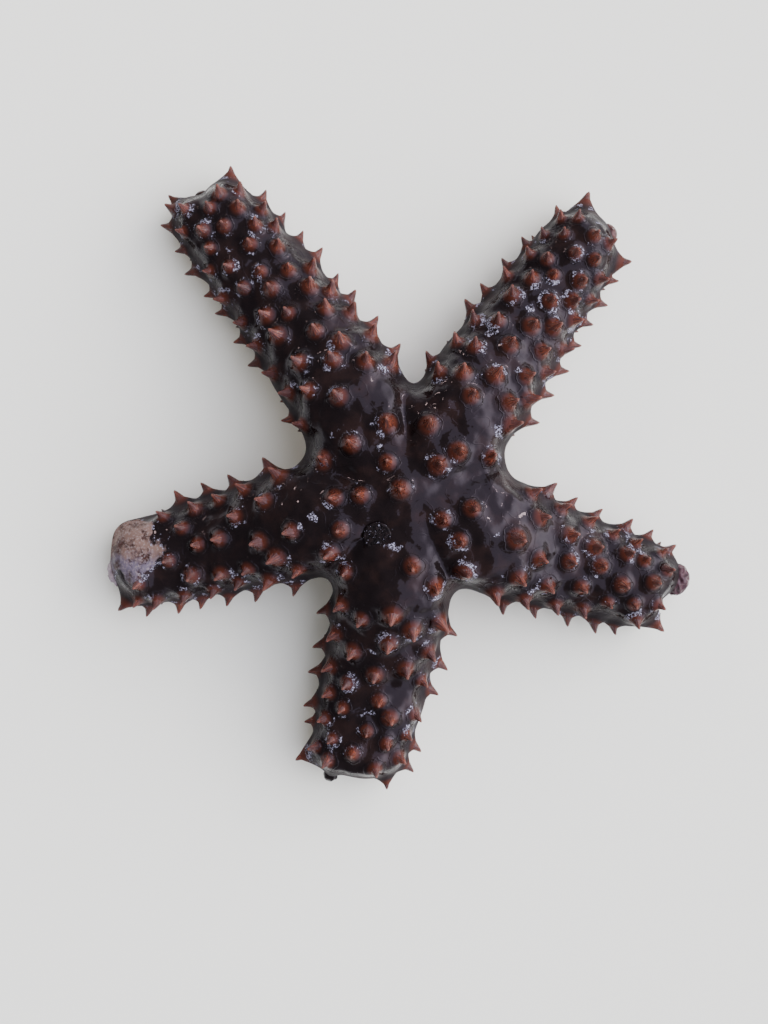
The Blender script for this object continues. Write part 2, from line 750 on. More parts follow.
# %% Plant copies of a shape on the body
BAKE_PATCH, PATCH_TAPER = 0.0015, 0.85
GRAIN_ROUND, GRAIN_UP = 1.6, 0.8


class Planting:
    """Many copies of small shapes in one mesh, each with its values and its patch of the chart."""

    def __init__(self, name):
        self.name = name
        self.bm = bmesh.new()
        self.rise = self.bm.verts.layers.float.new("rise")
        self.grain = self.bm.verts.layers.float_vector.new("grain")
        self.uv = self.bm.loops.layers.uv.new("OFBake")

    def add(self, mesh, matrix, chart, offset=0.0, lean=None):
        """Plants one copy. Its height runs from 0 at the foot to 1 at the tip."""
        first_vert, first_face = len(self.bm.verts), len(self.bm.faces)
        self.bm.from_mesh(mesh)
        self.bm.verts.ensure_lookup_table()
        self.bm.faces.ensure_lookup_table()
        charted = {}
        for vert in self.bm.verts[first_vert:]:
            x, y, z = vert.co
            width = math.hypot(x, y) or 1.0
            vert[self.rise] = z
            round_x, round_y = x / width * GRAIN_ROUND, y / width * GRAIN_ROUND
            vert[self.grain] = (round_x + offset, round_y, z * GRAIN_UP + offset)
            inset = BAKE_PATCH * (1.0 - PATCH_TAPER * max(0.0, min(1.0, z)))
            charted[vert] = (chart[0] + inset * x / width, chart[1] + inset * y / width)
            vert.co = matrix @ Vector((x, y, z))
            if lean is not None:
                vert.co += lean(z)
        for face in self.bm.faces[first_face:]:
            for loop in face.loops:
                loop[self.uv].uv = charted[loop.vert]

    def done(self):
        obj = bpy.data.objects.new(self.name, bpy.data.meshes.new(self.name))
        bpy.context.scene.collection.objects.link(obj)
        return finished(obj, self.bm)


def stand(foot, direction, width, height, turn):
    """The matrix that stands a shape of unit size on its foot."""
    up = direction.to_track_quat("Z", "Y")
    spin = Quaternion((0, 0, 1), turn)
    scale = Matrix.Diagonal((width, width, height, 1.0))
    return Matrix.Translation(foot) @ (up @ spin).to_matrix().to_4x4() @ scale


# %% Plant the spines
SPINE_SEED, GRAIN_STEP, ANY_TURN = 21, 7.3, 6.3
rng = random.Random(SPINE_SEED)
planting = Planting("spines")
for k, thorn in enumerate(thorns):
    matrix = stand(thorn.foot, thorn.normal, thorn.radius, thorn.height, rng.uniform(0, ANY_TURN))
    mesh = spine_meshes[k % SPINE_VERSIONS]
    planting.add(mesh, matrix, thorn.chart, GRAIN_STEP * k, thorn.lean)
spines = planting.done()

# %% [markdown]
# ## Under the arms
# The groove under each arm holds two rows of tube feet. Each foot is a soft wrinkled stalk that
# ends in a flat sucker. It could be a plain cylinder, but the sucker's rim and the swelling of
# the stalk show from the side, so it has a profile too, with few enough faces for its number.

# %% Tube feet
FOOT_PITCH, FOOT_START, FOOT_END, FOOT_OFFSET = 1.8, 1.4, 3.2, 0.98
SUCKER_RADIUS, FOOT_REACH, FOOT_LEAST, FOOT_SWAY = 0.75, 1.0, 0.5, 0.1
FOOT_SEED, FOOT_TURNS, FOOT_CHART = 31, 8, 20.0
FOOT_PROFILE = (
    (0.0, -0.3),
    (0.62, -0.28),
    (0.50, 0.22),
    (0.56, 0.40),
    (0.50, 0.68),
    (0.88, 0.85),
    (0.98, 0.98),
    (0.0, 0.93),
)
foot_mesh = spun(FOOT_PROFILE, FOOT_TURNS, "foot")
DOWN, UP = Vector((0, 0, -1)), Vector((0, 0, 1))
rng = random.Random(FOOT_SEED)
planting = Planting("tube_feet")
for arm in ARMS:
    s = MOUTH_RADIUS + FOOT_START
    while s < arm.length - FOOT_END:
        scale = narrowing(arm, s)
        for side in (-1, 1):
            across = side * FOOT_OFFSET * scale
            roof = surface.ray_cast(place(arm, s, across, -1.0), UP)[0]
            low = section(arm, s)[1] + FLAT_DEPTH
            level = max(FLOOR_CLEARANCE, low - FOOT_REACH) + rng.uniform(0.0, 0.5) * scale
            length = max(FOOT_LEAST, roof.z - level)
            sway = [rng.uniform(-FOOT_SWAY, FOOT_SWAY) for _ in range(2)]
            hanging = (DOWN + Vector((*sway, 0))).normalized()
            width = SUCKER_RADIUS * scale * rng.uniform(0.85, 1.05)
            matrix = stand(roof, hanging, width, length, rng.uniform(0, ANY_TURN))
            chart = arm_chart(arm, s, 180.0 - FOOT_CHART * side)
            planting.add(foot_mesh, matrix, chart, 3.1 * s)
        s += FOOT_PITCH
feet = planting.done()

# %% [markdown]
# ## Guards of the groove
# Short blunt spines stand on both lips of the groove and lean in over the feet like a comb.
# Where the sole is lifted, a second row hangs outside them, and a ring of longer ones guards the
# mouth. One blunt profile serves for all three, because only their size and lean differ.

# %% Spines along the groove and round the mouth
COMB_PITCH, COMB_HEIGHT, COMB_RADIUS, COMB_LEVEL = 1.2, 1.15, 0.3, 0.7
COMB_SEED, COMB_TURNS, COMB_CHART = 41, 8, 32.0
OUTER_FROM, OUTER_ASIDE, OUTER_TILT, OUTER_HEIGHT, OUTER_RADIUS = 1.6, 0.75, 0.35, 1.1, 0.34
JAW_TURNS, JAW_OUT, JAW_TILT = (-0.3, -0.16, 0.0, 0.16, 0.3), 0.7, 0.6
JAW_HEIGHT, JAW_RADIUS = 1.6, 0.42
COMB_PROFILE = ((0.0, -0.5), (1.0, -0.45), (0.95, 0.1), (0.8, 0.5), (0.55, 0.85), (0.0, 1.0))
comb_mesh = spun(COMB_PROFILE, COMB_TURNS, "comb")
rng = random.Random(COMB_SEED)
planting = Planting("groove_spines")
for arm in ARMS:
    left = heading(arm)[1]
    s = MOUTH_RADIUS + FOOT_START
    while s < arm.length - FOOT_END:
        scale = narrowing(arm, s)
        low = section(arm, s)[1] + FLAT_DEPTH
        for side in (-1, 1):
            foot = place(arm, s, side * GROOVE_HALF * scale * 1.02, low + COMB_LEVEL * scale)
            inward = (left * -side + Vector((0, 0, rng.uniform(-0.3, 0.0)))).normalized()
            width, height = COMB_RADIUS * scale, COMB_HEIGHT * scale * rng.uniform(0.85, 1.0)
            chart = arm_chart(arm, s, 180.0 - COMB_CHART * side)
            planting.add(comb_mesh, stand(foot, inward, width, height, 0.0), chart, s)
            if low > OUTER_FROM:
                across = side * (GROOVE_HALF * scale + OUTER_ASIDE)
                outer = place(arm, s + 0.5 * COMB_PITCH, across, -1.0)
                foot = surface.ray_cast(outer, UP)[0]
                tilt = (DOWN + left * side * OUTER_TILT).normalized()
                height = OUTER_HEIGHT * rng.uniform(0.8, 1.0)
                planting.add(comb_mesh, stand(foot, tilt, OUTER_RADIUS, height, 0.0), chart, s)
        s += COMB_PITCH
for a in notches():
    for turn in JAW_TURNS:
        out = Vector((math.cos(a + turn), math.sin(a + turn), 0.0))
        foot = surface.ray_cast(out * (MOUTH_RADIUS + JAW_OUT + 0.9 * abs(turn)), UP)[0]
        inward = (DOWN - out * JAW_TILT).normalized()
        matrix = stand(foot, inward, JAW_RADIUS, JAW_HEIGHT, 0.0)
        planting.add(comb_mesh, matrix, disc_chart(foot), a)
groove_spines = planting.done()

# %% [markdown]
# ## Small plates
# Off the middle of the disc lies the sieve plate, the madreporite, through which the animal
# takes in water. Its face is cut by fine winding channels. They could be left to the paint, but
# they catch the light, so they are pressed into a spun profile that has enough rings for them.

# %% The sieve plate
PLATE_RADIUS, PLATE_HEIGHT, PLATE_DEPTH = 1.85, 0.30, 0.9
PLATE_RINGS, PLATE_TURNS, PLATE_RIM, PLATE_TILT = 16, 96, 0.14, 0.03
CHANNELS, CHANNEL_DEPTH, CHANNEL_STARTS, CHANNEL_STOPS = 17.0, 0.08, (0.15, 0.5), (1.45, 1.65)


def spun_object(name, profile, turns, dent):
    """A spun shape whose points are each moved by the dent function."""
    mesh = spun(profile, turns, name)
    for vert in mesh.vertices:
        vert.co = dent(vert.co)
    obj = bpy.data.objects.new(name, mesh)
    bpy.context.scene.collection.objects.link(obj)
    return obj


def plate_dent(p):
    """Winding channels that run out from the middle of the plate's face."""
    if p.z < 0.0:
        return p
    r, around = p.xy.length, math.atan2(p.y, p.x)
    wind = noise.noise(Vector((p.x, p.y, 0.0)) * 1.7)
    channel = 0.5 + 0.5 * math.cos(CHANNELS * around + 11.0 * wind + 4.0 * r)
    depth = CHANNEL_DEPTH * channel * smoothstep(*CHANNEL_STARTS, r)
    depth *= 1.0 - smoothstep(*CHANNEL_STOPS, r)
    return Vector((p.x, p.y, p.z - depth))


plate_profile = [(0.0, -PLATE_DEPTH), (PLATE_RADIUS, -PLATE_DEPTH), (PLATE_RADIUS, 0.1)]
for k in range(PLATE_RINGS + 1):
    t = 0.5 * math.pi * k / PLATE_RINGS
    level = PLATE_RIM + (PLATE_HEIGHT - PLATE_RIM) * math.sin(t)
    plate_profile.append((PLATE_RADIUS * 0.98 * math.cos(t), level))
sieve = spun_object("sieve_plate", plate_profile, PLATE_TURNS, plate_dent)
x, y = MADREPORITE_PLACE
seat = surface.ray_cast(Vector((x, y, 70.0)), DOWN)[0]
facing = Vector((x * PLATE_TILT, y * PLATE_TILT, 1.0)).normalized()
sieve.data.transform(stand(seat, facing, 1.0, 1.0, 0.0))
finished(sieve)
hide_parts("madreporite")

# %% [markdown]
# ## The arms' very ends
# A smooth knob, the end plate, sits at the tip of each arm. On this animal they differ: the
# right arm's is a broad lobe, the lower arm's a small round bulb, and the left arm's a pale
# bulge. A ball of even triangles is dented by noise and squashed at its outer end, which looks
# more like soft tissue than a plain sphere does. It moves with the relief of the skin that it
# sits in.

# %% End plates
PLATE_DENT, PLATE_SQUASH, PLATE_SEEK = 0.22, 0.18, 6.0
PLATE_PUSH = {"arm_right": 0.5, "arm_down": 0.8}
PLATE_SHARE = {"arm_down": 0.8}


def end_plate(arm):
    """A smooth lobe at the arm's very tip, a little dented."""
    along = heading(arm)[0]
    level = TIP_PLATE_LEVEL + TIP_PLATE_RISE * arm.plate
    outside = place(arm, arm.length, arm.plate_at, level) + along * PLATE_SEEK
    centre = surface.ray_cast(outside, -along)[0]
    push = PLATE_PUSH.get(arm.name, 0.0) - TIP_PLATE_SINK * arm.plate
    centre += along * (relief(centre, along, 0.0) + push)
    bm = bmesh.new()
    radius = arm.plate * PLATE_SHARE.get(arm.name, 1.0)
    bmesh.ops.create_icosphere(bm, subdivisions=5, radius=radius)
    for vert in bm.verts:
        vert.co *= 1.0 - PLATE_DENT * abs(noise.noise(vert.co * 1.1 + centre))
        vert.co -= along * (PLATE_SQUASH * max(0.0, vert.co.dot(along)))
    bmesh.ops.translate(bm, vec=centre, verts=bm.verts)
    obj = mesh_object("end_plate_" + arm.name, bm)
    finished(obj)
    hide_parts("tip_" + arm.name)
    return obj


end_plates = [end_plate(arm) for arm in ARMS]

# %% [markdown]
# ## The mouth
# A ring of soft folded skin closes the mouth, with a thin lip round its middle. It could be a
# flat disc with a painted star, but the underside is seen at a slant, so the folds are real.
# A spun profile gives the lip, and a wave round the axis gives the folds.

# %% The mouth's skin
MEMBRANE_RADIUS, MEMBRANE_RINGS, MEMBRANE_TURNS = 2.95, 14, 90
FOLDS, FOLD_DEPTH, LIP_RADIUS, LIP_HALF, LIP_HEIGHT = 15.0, 0.10, 0.75, 0.35, 0.35


def mouth_dent(p):
    """Soft folds that run in to the middle of the mouth."""
    r, around = p.xy.length, math.atan2(p.y, p.x)
    fold = FOLD_DEPTH * math.cos(FOLDS * around + 1.5 * noise.noise(p)) * smoothstep(0.1, 0.9, r)
    below = 1.0 if p.z < MOUTH_DEPTH - 1.1 else 0.0
    return Vector((p.x, p.y, p.z + below * fold * (1.0 - smoothstep(2.5, 2.9, r))))


mouth_profile = [(0.0, MOUTH_DEPTH - 1.25)]
for k in range(1, MEMBRANE_RINGS + 1):
    r = MEMBRANE_RADIUS * k / MEMBRANE_RINGS
    lip = math.exp(-(((r - LIP_RADIUS) / LIP_HALF) ** 2))
    mouth_profile.append((r, MOUTH_DEPTH - 1.3 - 1.2 * smoothstep(0.0, 2.9, r) - LIP_HEIGHT * lip))
mouth_profile += [(MEMBRANE_RADIUS, MOUTH_DEPTH - 2.2), (MEMBRANE_RADIUS * 0.68, MOUTH_DEPTH - 1.0)]
mouth_profile.append((0.0, MOUTH_DEPTH - GAP - 0.1))
mouth = spun_object("mouth_skin", mouth_profile, MEMBRANE_TURNS, mouth_dent)
mouth.data.transform(Matrix.Translation((0, 0, LIFT)))
finished(mouth)
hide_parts("mouth_membrane")

# %% [markdown]
# ## Building materials from nodes
# The wet look comes from a few effects that several pieces share, so each effect is a node
# group. Clicking nodes together in the editor would do too, but a few helpers let a recipe be
# read from top to bottom: one adds a node and joins its inputs, the others give the sums, soft
# steps and noises that every finish needs. Places are in millimetres, so a noise of scale 1 has
# lumps about a millimetre across.

# %% A node, a sum and a soft step


def add_node(tree, kind, inputs=None, **options):
    """Adds a node. Each input is given a value, or a socket to be joined to."""
    node = tree.nodes.new(kind)
    for name, value in options.items():
        setattr(node, name, value)
    for key, value in (inputs or {}).items():
        if isinstance(value, bpy.types.NodeSocket):
            tree.links.new(value, node.inputs[key])
        else:
            node.inputs[key].default_value = value
    return node


def calc(tree, operation, a, b=0.0, c=0.0):
    inputs = {0: a, 1: b, 2: c}
    return add_node(tree, "ShaderNodeMath", inputs, operation=operation).outputs[0]


def ramp_up(tree, value, low, high):
    """A soft step from 0 at low to 1 at high."""
    inputs = {"Value": value, "From Min": low, "From Max": high}
    node = add_node(tree, "ShaderNodeMapRange", inputs, interpolation_type="SMOOTHSTEP")
    return node.outputs["Result"]


def line_at_zero(tree, value, half):
    """A thin soft line where the value passes through zero."""
    return ramp_up(tree, calc(tree, "ABSOLUTE", value), half, 0.0)


# %% Noise, mixtures and effects


def noise_value(tree, vector, scale, detail=2.0, roughness=0.5):
    inputs = {"Vector": vector, "Scale": scale, "Detail": detail, "Roughness": roughness}
    return add_node(tree, "ShaderNodeTexNoise", inputs).outputs["Fac"]


def blend_value(tree, factor, first, second):
    return add_node(tree, "ShaderNodeMix", {0: factor, 2: first, 3: second}).outputs[0]


def blend_colour(tree, factor, first, second):
    inputs = {0: factor, 6: first, 7: second}
    return add_node(tree, "ShaderNodeMix", inputs, data_type="RGBA").outputs[2]


def effect(name, takes, gives):
    """An empty node group with named inputs and outputs."""
    group = bpy.data.node_groups.new(name, "ShaderNodeTree")
    for label, kind in takes:
        group.interface.new_socket(label, in_out="INPUT", socket_type=kind)
    for label, kind in gives:
        group.interface.new_socket(label, in_out="OUTPUT", socket_type=kind)
    return group, group.nodes.new("NodeGroupInput").outputs, group.nodes.new("NodeGroupOutput").inputs


def use(tree, group, inputs):
    return add_node(tree, "ShaderNodeGroup", inputs, node_tree=group)


FLOAT, VECTOR = "NodeSocketFloat", "NodeSocketVector"

# %% [markdown]
# ## Water on skin
# The skin is finely grained and leathery. Water fills its hollows up to a level that varies from
# place to place, and there the surface is flat and mirror-like, with a sharp shore. Real water
# would need a second mesh. Instead the group works out two heights, of the skin and of the water,
# and whichever is higher wins. The mask says where water lies. The water stands up a little in a
# rim at its shore, in a ring round each spine, and in a few fine threads across the pools.

# %% The heights of the skin and of the water
GRAIN_RELIEF, PORE_RELIEF, LUMP_RELIEF, SPINE_RELIEF = 0.09, 0.06, 0.36, 0.24
TIDE_RANGE, RIPPLE_RANGE = 0.95, 0.07

pooled, take, give = effect(
    "pooled_water",
    (("Place", VECTOR), ("Near", FLOAT), ("Level", FLOAT)),
    (("Height", FLOAT), ("Water", FLOAT), ("Grain", FLOAT)),
)
at = take["Place"]
fine = noise_value(pooled, at, 2.6, 4.0, 0.6)
lumps = noise_value(pooled, at, 0.85, 3.0, 0.6)
pores = add_node(pooled, "ShaderNodeTexVoronoi", {"Vector": at, "Scale": 1.15}).outputs["Distance"]
pores = calc(pooled, "MULTIPLY", pores, PORE_RELIEF)
grain = calc(pooled, "MULTIPLY_ADD", fine, GRAIN_RELIEF, pores)
ground = calc(pooled, "MULTIPLY_ADD", lumps, LUMP_RELIEF, grain)
ground = calc(pooled, "MULTIPLY_ADD", take["Near"], SPINE_RELIEF, ground)
tide = noise_value(pooled, at, 0.19, 2.0, 0.5)
ripple = noise_value(pooled, at, 0.55, 2.0, 0.5)
water = calc(pooled, "MULTIPLY_ADD", tide, TIDE_RANGE, take["Level"])
water = calc(pooled, "MULTIPLY_ADD", ripple, RIPPLE_RANGE, water)
relief_sum = GRAIN_RELIEF + PORE_RELIEF + LUMP_RELIEF + SPINE_RELIEF
print("the painted relief is at most", round(relief_sum, 2), "mm")

# %% The shore, the threads and the rings
RIM_BAND, RIM_RELIEF = (0.07, -0.02), 0.05
SHORE_BAND, SHORE_SOFTNESS = (-0.045, -0.02), 0.02
THREAD_HALF, THREAD_RELIEF = 0.014, 0.014
RING_PLACE, RING_WANDER, RING_HALF, RING_RELIEF = 0.56, 0.45, 0.05, 0.035

over = calc(pooled, "SUBTRACT", water, ground)
rim = calc(pooled, "MULTIPLY", ramp_up(pooled, over, *RIM_BAND), RIM_RELIEF)
mask = ramp_up(pooled, over, *SHORE_BAND)
height = calc(pooled, "SMOOTH_MAX", calc(pooled, "ADD", water, rim), ground, SHORE_SOFTNESS)
film = calc(pooled, "SUBTRACT", noise_value(pooled, at, 0.26, 1.5, 0.5), 0.5)
thread = line_at_zero(pooled, film, THREAD_HALF)
height = calc(pooled, "MULTIPLY_ADD", thread, THREAD_RELIEF, height)
wander = noise_value(pooled, at, 0.9, 2.0, 0.5)
round_spine = calc(pooled, "MULTIPLY_ADD", wander, RING_WANDER, take["Near"])
ring = line_at_zero(pooled, calc(pooled, "SUBTRACT", round_spine, RING_PLACE), RING_HALF)
height = calc(pooled, "MULTIPLY_ADD", ring, RING_RELIEF, height)
for label, socket in (("Height", height), ("Water", mask), ("Grain", grain)):
    pooled.links.new(socket, give[label])
print("effect:", pooled.name)

# %% [markdown]
# ## Foam and salt
# Pale flecks of dried foam cling round many of the spines. Strewn evenly they would look like
# dust. They come in clusters, so a broad noise picks the places, the nearness of a spine gives
# the ring, and a fine noise breaks the ring up. Single grains lie at its edges, and where the
# foam is thick it runs together into froth.

# %% Where the foam clings
CLUSTERS, RING_IN, RING_OUT = (0.46, 0.60), (0.18, 0.36), (0.66, 0.50)
RING_BREAKS, PATCHES = (0.47, 0.60), (0.66, 0.72)

flecks, take, give = effect(
    "foam_flecks", (("Place", VECTOR), ("Ring", FLOAT), ("Amount", FLOAT)), (("Mask", FLOAT),)
)
at = take["Place"]
wide = noise_value(flecks, at, 0.15, 1.0, 0.5)
clusters = ramp_up(flecks, calc(flecks, "ADD", wide, take["Amount"]), *CLUSTERS)
inner = ramp_up(flecks, take["Ring"], *RING_IN)
outer = ramp_up(flecks, take["Ring"], *RING_OUT)
band = calc(flecks, "MULTIPLY", clusters, calc(flecks, "MULTIPLY", inner, outer))
broken = ramp_up(flecks, noise_value(flecks, at, 0.62, 2.0, 0.6), *RING_BREAKS)
patches = ramp_up(flecks, noise_value(flecks, at, 0.27, 3.0, 0.55), *PATCHES)
patches = calc(flecks, "MULTIPLY", patches, clusters)
where_foam = calc(flecks, "MAXIMUM", calc(flecks, "MULTIPLY", band, broken), patches)

# %% Single grains and thick froth
GRAIN_LEAST, GRAIN_SPREAD, GRAIN_EDGE, GRAINS_KEPT = 0.18, 0.34, (0.0, 0.10), (0.30, 0.36)
FROTH, THICK_FOAM = (0.50, 0.59), (0.30, 0.75)

dots = add_node(flecks, "ShaderNodeTexVoronoi", {"Vector": at, "Scale": 4.6})
chance = add_node(flecks, "ShaderNodeSeparateColor", {0: dots.outputs["Color"]}).outputs
size = calc(flecks, "MULTIPLY_ADD", chance[1], GRAIN_SPREAD, GRAIN_LEAST)
spare = calc(flecks, "SUBTRACT", size, dots.outputs["Distance"])
kept = ramp_up(flecks, chance[0], *GRAINS_KEPT)
crumb = calc(flecks, "MULTIPLY", ramp_up(flecks, spare, *GRAIN_EDGE), kept)
froth = ramp_up(flecks, noise_value(flecks, at, 4.0, 4.0, 0.75), *FROTH)
core = calc(flecks, "MULTIPLY", ramp_up(flecks, where_foam, *THICK_FOAM), froth)
mask = calc(flecks, "MAXIMUM", calc(flecks, "MULTIPLY", where_foam, crumb), core)
flecks.links.new(mask, give["Mask"])
print("effect:", flecks.name)

# %% [markdown]
# ## A place to paint in
# Every finish of the animal is a noise in space, so each material starts from the piece's Object
# coordinates, scaled to millimetres. An unwrapped image would show seams and pixels this close.
# The values that were stored on the points are read back by their names.

# %% A new material with millimetre coordinates


def new_material(name):
    material = bpy.data.materials.new(name)
    material.use_nodes = True
    tree = material.node_tree
    tree.nodes.clear()
    out = tree.nodes.new("ShaderNodeOutputMaterial")
    shader = tree.nodes.new("ShaderNodeBsdfPrincipled")
    tree.links.new(shader.outputs[0], out.inputs[0])
    where = add_node(tree, "ShaderNodeTexCoord").outputs["Object"]
    scaled = add_node(tree, "ShaderNodeVectorMath", {0: where}, operation="SCALE")
    scaled.inputs["Scale"].default_value = 1.0 / METRES
    return material, tree, shader, scaled.outputs[0]


def coloured(tree, shader, colour, rough):
    tree.links.new(colour, shader.inputs["Base Color"])
    tree.links.new(rough, shader.inputs["Roughness"])


def bump(tree, shader, height, strength=1.0, distance=METRES):
    """Height in millimetres, felt as a bump."""
    inputs = {"Height": height, "Strength": strength, "Distance": distance}
    node = add_node(tree, "ShaderNodeBump", inputs)
    tree.links.new(node.outputs[0], shader.inputs["Normal"])


def lets_light_in(shader, weight, reach):
    """Light goes into the piece and comes out near by, reddest where it went furthest."""
    shader.inputs["Subsurface Weight"].default_value = weight
    shader.inputs["Subsurface Radius"].default_value = reach
    shader.inputs["Subsurface Scale"].default_value = 1.0


def value_of(tree, name):
    return add_node(tree, "ShaderNodeAttribute", attribute_name=name).outputs["Fac"]


# %% [markdown]
# ## The skin's paint
# The back is almost black, with a brown cast in patches and a rusty stain where the skin rises
# to a spine. The sole is a warmer brown. The paint could be one colour, because the water hides
# much of it, but between the pools the dark tones carry the depth, so they are built up in
# layers, each with its own mask.

# %% The skin's colours
INK, EARTH, RUST = (0.008, 0.0055, 0.006, 1), (0.016, 0.009, 0.0085, 1), (0.062, 0.016, 0.009, 1)
SOLE, FOAM = (0.13, 0.055, 0.030, 1), (0.34, 0.33, 0.44, 1)
MOTTLE, STAIN, SOLE_TONE = (0.42, 0.70), (0.38, 0.75), (0.2, 0.7)

material, tree, shader, spot = new_material("wet_skin")
near = value_of(tree, "near_spine")
sole = value_of(tree, "sole")
scar = value_of(tree, "worn")
steep = value_of(tree, "steep")
mottle = ramp_up(tree, noise_value(tree, spot, 0.30, 3.0, 0.55), *MOTTLE)
colour = blend_colour(tree, mottle, INK, EARTH)
colour = blend_colour(tree, ramp_up(tree, near, *STAIN), colour, RUST)
sole_tone = ramp_up(tree, noise_value(tree, spot, 0.5, 3.0), *SOLE_TONE)
colour = blend_colour(tree, calc(tree, "MULTIPLY", sole, sole_tone), colour, SOLE)

# %% [markdown]
# ## The worn patch
# On the left arm's tip the skin is rubbed bare: beige and pitted above, lilac below, and chalky
# in fine grains. Its border is ragged. The stored value fades out evenly, so a noise is added to
# it before it is cut off, and that tears the edge.

# %% The worn patch
SCAR, SCAR_PIT = (0.16, 0.10, 0.085, 1), (0.05, 0.024, 0.02, 1)
SCAR_LILAC, SCAR_CHALK, CHALK_SHARE = (0.12, 0.10, 0.14, 1), (0.30, 0.25, 0.25, 1), 0.5
PITS, CHALK, SCAR_EDGE, SCAR_FRAY = (0.34, 0.54), (0.52, 0.62), (0.76, 0.88), 0.5
LILAC_BELOW, LILAC_WANDER = (-7.0, -9.0), 5.0

pits = ramp_up(tree, noise_value(tree, spot, 0.8, 5.0, 0.62), *PITS)
across = add_node(tree, "ShaderNodeSeparateXYZ", {0: spot}).outputs
wander = noise_value(tree, spot, 0.5, 3.0, 0.6)
lower = calc(tree, "MULTIPLY_ADD", wander, LILAC_WANDER, across["Y"])
bare = blend_colour(tree, ramp_up(tree, lower, *LILAC_BELOW), SCAR, SCAR_LILAC)
bare = blend_colour(tree, pits, SCAR_PIT, bare)
chalk = ramp_up(tree, noise_value(tree, spot, 3.2, 4.0, 0.7), *CHALK)
bare = blend_colour(tree, calc(tree, "MULTIPLY", chalk, CHALK_SHARE), bare, SCAR_CHALK)
fray = noise_value(tree, spot, 0.9, 4.0, 0.6)
scar_mask = ramp_up(tree, calc(tree, "MULTIPLY_ADD", fray, SCAR_FRAY, scar), *SCAR_EDGE)
colour = blend_colour(tree, scar_mask, colour, bare)

# %% Foam on the skin
LEFT_ARM, LEFT_FOAM = (-12.0, -26.0), 0.05
CRUMB_RING, CRUMB_AMOUNT = 0.9, 0.3

amount = calc(tree, "MULTIPLY", ramp_up(tree, across["X"], *LEFT_ARM), LEFT_FOAM)
fleck = use(tree, flecks, {"Place": spot, "Ring": near, "Amount": amount})
ring = calc(tree, "MULTIPLY", scar, CRUMB_RING)
crumbs = use(tree, flecks, {"Place": spot, "Ring": ring, "Amount": CRUMB_AMOUNT})
foam = calc(tree, "MAXIMUM", fleck.outputs["Mask"], crumbs.outputs["Mask"])
colour = blend_colour(tree, foam, colour, FOAM)

# %% [markdown]
# ## Wetness
# Over all of the skin lies the water, which sets both the bump and the roughness. It runs off the
# steep flanks, so they have no pools, a duller surface and a calmer bump: otherwise each flank
# would mirror the pale floor. The water is set to mirror less than real water does, whose index
# is 1.33, because the surround is brighter than a real sky would be beside the floor. A slight
# lilac sheen stands for the sky's colour on it.

# %% Wet and dry skin
WATER_IOR, SHEEN = 1.22, (0.84, 0.75, 1.0, 1)
POOL_LEVEL, POOL_ON_FLANK, POOL_ON_SOLE = 0.01, -1.1, -0.2
WATER_ROUGHNESS, DRY_ROUGHNESS, GRAIN_ROUGHNESS, FLANK_ROUGHNESS = 0.025, 0.08, 0.5, 0.52
FOAM_ROUGHNESS, SCAR_ROUGHNESS = 0.3, 0.25
CALM_FLANK, FOAM_RELIEF, SCAR_RELIEF = -0.96, 0.05, 0.25

level = calc(tree, "MULTIPLY_ADD", steep, POOL_ON_FLANK, POOL_LEVEL)
level = calc(tree, "MULTIPLY_ADD", sole, POOL_ON_SOLE, level)
pool = use(tree, pooled, {"Place": spot, "Near": near, "Level": level}).outputs
dry = calc(tree, "MULTIPLY_ADD", pool["Grain"], GRAIN_ROUGHNESS, DRY_ROUGHNESS)
dry = calc(tree, "MULTIPLY_ADD", steep, FLANK_ROUGHNESS, dry)
wet = calc(tree, "MULTIPLY", pool["Water"], calc(tree, "SUBTRACT", 1.0, steep))
rough = blend_value(tree, wet, dry, WATER_ROUGHNESS)
rough = calc(tree, "MULTIPLY_ADD", foam, FOAM_ROUGHNESS, rough)
rough = calc(tree, "MULTIPLY_ADD", scar_mask, SCAR_ROUGHNESS, rough)
coloured(tree, shader, colour, rough)
calm = calc(tree, "MULTIPLY_ADD", steep, CALM_FLANK, 1.0)
height = calc(tree, "MULTIPLY", pool["Height"], calm)
height = calc(tree, "MULTIPLY_ADD", foam, FOAM_RELIEF, height)
height = calc(tree, "MULTIPLY_ADD", calc(tree, "MULTIPLY", scar_mask, pits), SCAR_RELIEF, height)
bump(tree, shader, height)
shader.inputs["IOR"].default_value = WATER_IOR
shader.inputs["Specular Tint"].default_value = SHEEN
skin.data.materials.append(material)
print("painted", skin.name)

# %% [markdown]
# ## The spines' paint
# A spine is dark red-brown at the foot, rust-orange on its flanks and paler at the worn point,
# with fine streaks that run up it. The streaks would swim over the spines if they were read in
# space, so they are read from the grain that each copy carries. The horn lets a little light in,
# and the same flecks cling to its foot as to the skin below it.

# %% The spines' colours
DEEP, FLANK = (0.022, 0.007, 0.006, 1), (0.052, 0.015, 0.010, 1)
WARM, POINT = (0.145, 0.036, 0.018, 1), (0.21, 0.085, 0.062, 1)
STREAKS, BLOTCHES, FOOT_FADE, POINT_FADE = (0.45, 0.58), (0.60, 0.40), (0.08, 0.46), (0.75, 1.05)
STREAK_SHIFT, FOAM_UP, FOAM_FROM, SPINE_FOAM = 0.35, 1.2, 0.36, -0.01

